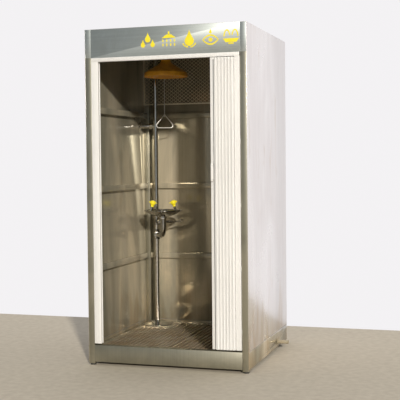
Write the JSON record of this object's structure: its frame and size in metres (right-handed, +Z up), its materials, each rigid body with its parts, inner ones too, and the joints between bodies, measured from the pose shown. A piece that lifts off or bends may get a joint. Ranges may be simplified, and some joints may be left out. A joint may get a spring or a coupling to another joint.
{
  "type": "emergency safety shower",
  "caption": "Stainless steel emergency shower booth with an overhead shower and eyewash stand, a folding accordion door, a grated floor and a mesh panel.",
  "frame": {"origin": "on the ground under the feet, at the centre of the overall box", "axes": "+Z up, the doorway faces -Y, +X is to the right of someone facing +Y into the booth"},
  "size_m": [1.25, 1.1472, 2.2],
  "materials": {
    "stainless_frame": "brushed",
    "stainless_sheet": "satin",
    "polished_steel": "polished",
    "pvc_white": "satin",
    "shower_yellow": "gloss",
    "cap_yellow": "gloss",
    "rubber_black": "matt"
  },
  "bodies": {
    "cabin": {"corner_posts": "stainless_frame", "frame_rails": "stainless_frame", "wall_girts": "stainless_sheet", "left_wall": "stainless_sheet", "right_wall": "stainless_sheet", "back_wall": "stainless_sheet", "mesh_panel": "stainless_sheet", "roof_panel": "stainless_sheet", "header_panel": "stainless_sheet", "front_sill": "stainless_frame", "base_skirts": "stainless_sheet", "levelling_feet": "rubber_black", "floor_tray": "stainless_sheet", "floor_grating_left": "stainless_sheet", "floor_grating_right": "stainless_sheet", "drain_outlet": "stainless_sheet", "door_track": "pvc_white", "strike_jamb": "pvc_white", "hinge_jamb": "pvc_white", "floor_flange": "polished_steel", "waste_pipe": "polished_steel", "waste_tee": "polished_steel", "waste_bend": "polished_steel", "eyewash_tee": "polished_steel", "supply_pipe": "polished_steel", "inlet_tee": "polished_steel", "inlet_pipe": "polished_steel", "wall_rosette": "polished_steel", "riser_pipe": "polished_steel", "top_elbow": "polished_steel", "shower_valve": "polished_steel", "shower_arm": "polished_steel", "shower_head": "shower_yellow", "shower_diffuser": "shower_yellow", "eyewash_valve": "polished_steel", "eyewash_bowl": "polished_steel", "bowl_drain": "polished_steel", "nozzle_yoke": "polished_steel", "eyewash_nozzles": "cap_yellow"},
    "door_slat_01": {"slat_01": "pvc_white"},
    "door_slat_02": {"slat_02": "pvc_white"},
    "door_slat_03": {"slat_03": "pvc_white"},
    "door_slat_04": {"slat_04": "pvc_white"},
    "door_slat_05": {"slat_05": "pvc_white"},
    "door_slat_06": {"slat_06": "pvc_white"},
    "door_slat_07": {"slat_07": "pvc_white"},
    "door_slat_08": {"slat_08": "pvc_white"},
    "door_slat_09": {"slat_09": "pvc_white"},
    "door_slat_10": {"slat_10": "pvc_white"},
    "door_slat_11": {"slat_11": "pvc_white"},
    "door_slat_12": {"slat_12": "pvc_white"},
    "door_post": {"lead_post": "pvc_white", "door_pull": "pvc_white"},
    "shower_lever": {"shower_valve_lever": "polished_steel"},
    "hanging_rod": {"pull_rod": "polished_steel"},
    "hanging_handle": {"pull_handle": "polished_steel"},
    "eyewash_lever": {"push_lever": "polished_steel"},
    "cap_left": {"dust_cap_left": "cap_yellow"},
    "cap_right": {"dust_cap_right": "cap_yellow"}
  },
  "joints": [
    {"name": "door_fold", "type": "hinge", "parent": "cabin", "child": "door_slat_01", "pos_m": [0.461, -0.52641, 0.145], "axis": [0, 0, -1], "range_deg": [0, 62.1]},
    {"name": "fold_02", "type": "hinge", "parent": "door_slat_01", "child": "door_slat_02", "pos_m": [0.45577, -0.56859, 0.145], "axis": [0, 0, -1], "range_deg": [-124.2, 0]},
    {"name": "fold_03", "type": "hinge", "parent": "door_slat_02", "child": "door_slat_03", "pos_m": [0.44532, -0.48423, 0.145], "axis": [0, 0, -1], "range_deg": [0, 124.2]},
    {"name": "fold_04", "type": "hinge", "parent": "door_slat_03", "child": "door_slat_04", "pos_m": [0.43486, -0.56859, 0.145], "axis": [0, 0, -1], "range_deg": [-124.2, 0]},
    {"name": "fold_05", "type": "hinge", "parent": "door_slat_04", "child": "door_slat_05", "pos_m": [0.42441, -0.48423, 0.145], "axis": [0, 0, -1], "range_deg": [0, 124.2]},
    {"name": "fold_06", "type": "hinge", "parent": "door_slat_05", "child": "door_slat_06", "pos_m": [0.41396, -0.56859, 0.145], "axis": [0, 0, -1], "range_deg": [-124.2, 0]},
    {"name": "fold_07", "type": "hinge", "parent": "door_slat_06", "child": "door_slat_07", "pos_m": [0.4035, -0.48423, 0.145], "axis": [0, 0, -1], "range_deg": [0, 124.2]},
    {"name": "fold_08", "type": "hinge", "parent": "door_slat_07", "child": "door_slat_08", "pos_m": [0.39304, -0.56859, 0.145], "axis": [0, 0, -1], "range_deg": [-124.2, 0]},
    {"name": "fold_09", "type": "hinge", "parent": "door_slat_08", "child": "door_slat_09", "pos_m": [0.38259, -0.48423, 0.145], "axis": [0, 0, -1], "range_deg": [0, 124.2]},
    {"name": "fold_10", "type": "hinge", "parent": "door_slat_09", "child": "door_slat_10", "pos_m": [0.37214, -0.56859, 0.145], "axis": [0, 0, -1], "range_deg": [-124.2, 0]},
    {"name": "fold_11", "type": "hinge", "parent": "door_slat_10", "child": "door_slat_11", "pos_m": [0.36168, -0.48423, 0.145], "axis": [0, 0, -1], "range_deg": [0, 124.2]},
    {"name": "fold_12", "type": "hinge", "parent": "door_slat_11", "child": "door_slat_12", "pos_m": [0.35123, -0.56859, 0.145], "axis": [0, 0, -1], "range_deg": [-124.2, 0]},
    {"name": "post_turn", "type": "hinge", "parent": "door_slat_12", "child": "door_post", "pos_m": [0.346, -0.52641, 0.145], "axis": [0, 0, -1], "range_deg": [0, 62.1]},
    {"name": "shower_valve", "type": "hinge", "parent": "cabin", "child": "shower_lever", "pos_m": [-0.39186, 0.40433, 2.13], "axis": [0.8387, 0.5446, 0], "range_deg": [0, 90]},
    {"name": "rod_hang", "type": "hinge", "parent": "shower_lever", "child": "hanging_rod", "pos_m": [-0.32601, 0.3672, 2.13], "axis": [0.8387, 0.5446, 0], "range_deg": [-90, 0]},
    {"name": "handle_swing", "type": "hinge", "parent": "hanging_rod", "child": "hanging_handle", "pos_m": [-0.32014, 0.37102, 1.674], "axis": [0.5446, -0.8387, 0], "range_deg": [-30, 30]},
    {"name": "eyewash_valve_turn", "type": "hinge", "parent": "cabin", "child": "eyewash_lever", "pos_m": [-0.3191, 0.36573, 0.893], "axis": [0.8387, 0.5446, 0], "range_deg": [0, 90]},
    {"name": "cap_flip_right", "type": "hinge", "parent": "cabin", "child": "cap_right", "pos_m": [-0.21679, 0.3189, 1.04632], "axis": [-0.5446, 0.8387, 0], "range_deg": [0, 110]},
    {"name": "cap_flip_left", "type": "hinge", "parent": "cabin", "child": "cap_left", "pos_m": [-0.38501, 0.20965, 1.04632], "axis": [0.5446, -0.8387, 0], "range_deg": [0, 110]}
  ],
  "couplings": [
    {"joint": "fold_02", "follows": "door_fold", "ratio": -2},
    {"joint": "fold_03", "follows": "door_fold", "ratio": 2},
    {"joint": "fold_04", "follows": "door_fold", "ratio": -2},
    {"joint": "fold_05", "follows": "door_fold", "ratio": 2},
    {"joint": "fold_06", "follows": "door_fold", "ratio": -2},
    {"joint": "fold_07", "follows": "door_fold", "ratio": 2},
    {"joint": "fold_08", "follows": "door_fold", "ratio": -2},
    {"joint": "fold_09", "follows": "door_fold", "ratio": 2},
    {"joint": "fold_10", "follows": "door_fold", "ratio": -2},
    {"joint": "fold_11", "follows": "door_fold", "ratio": 2},
    {"joint": "fold_12", "follows": "door_fold", "ratio": -2},
    {"joint": "post_turn", "follows": "door_fold", "ratio": 1},
    {"joint": "rod_hang", "follows": "shower_valve", "ratio": -1}
  ]
}
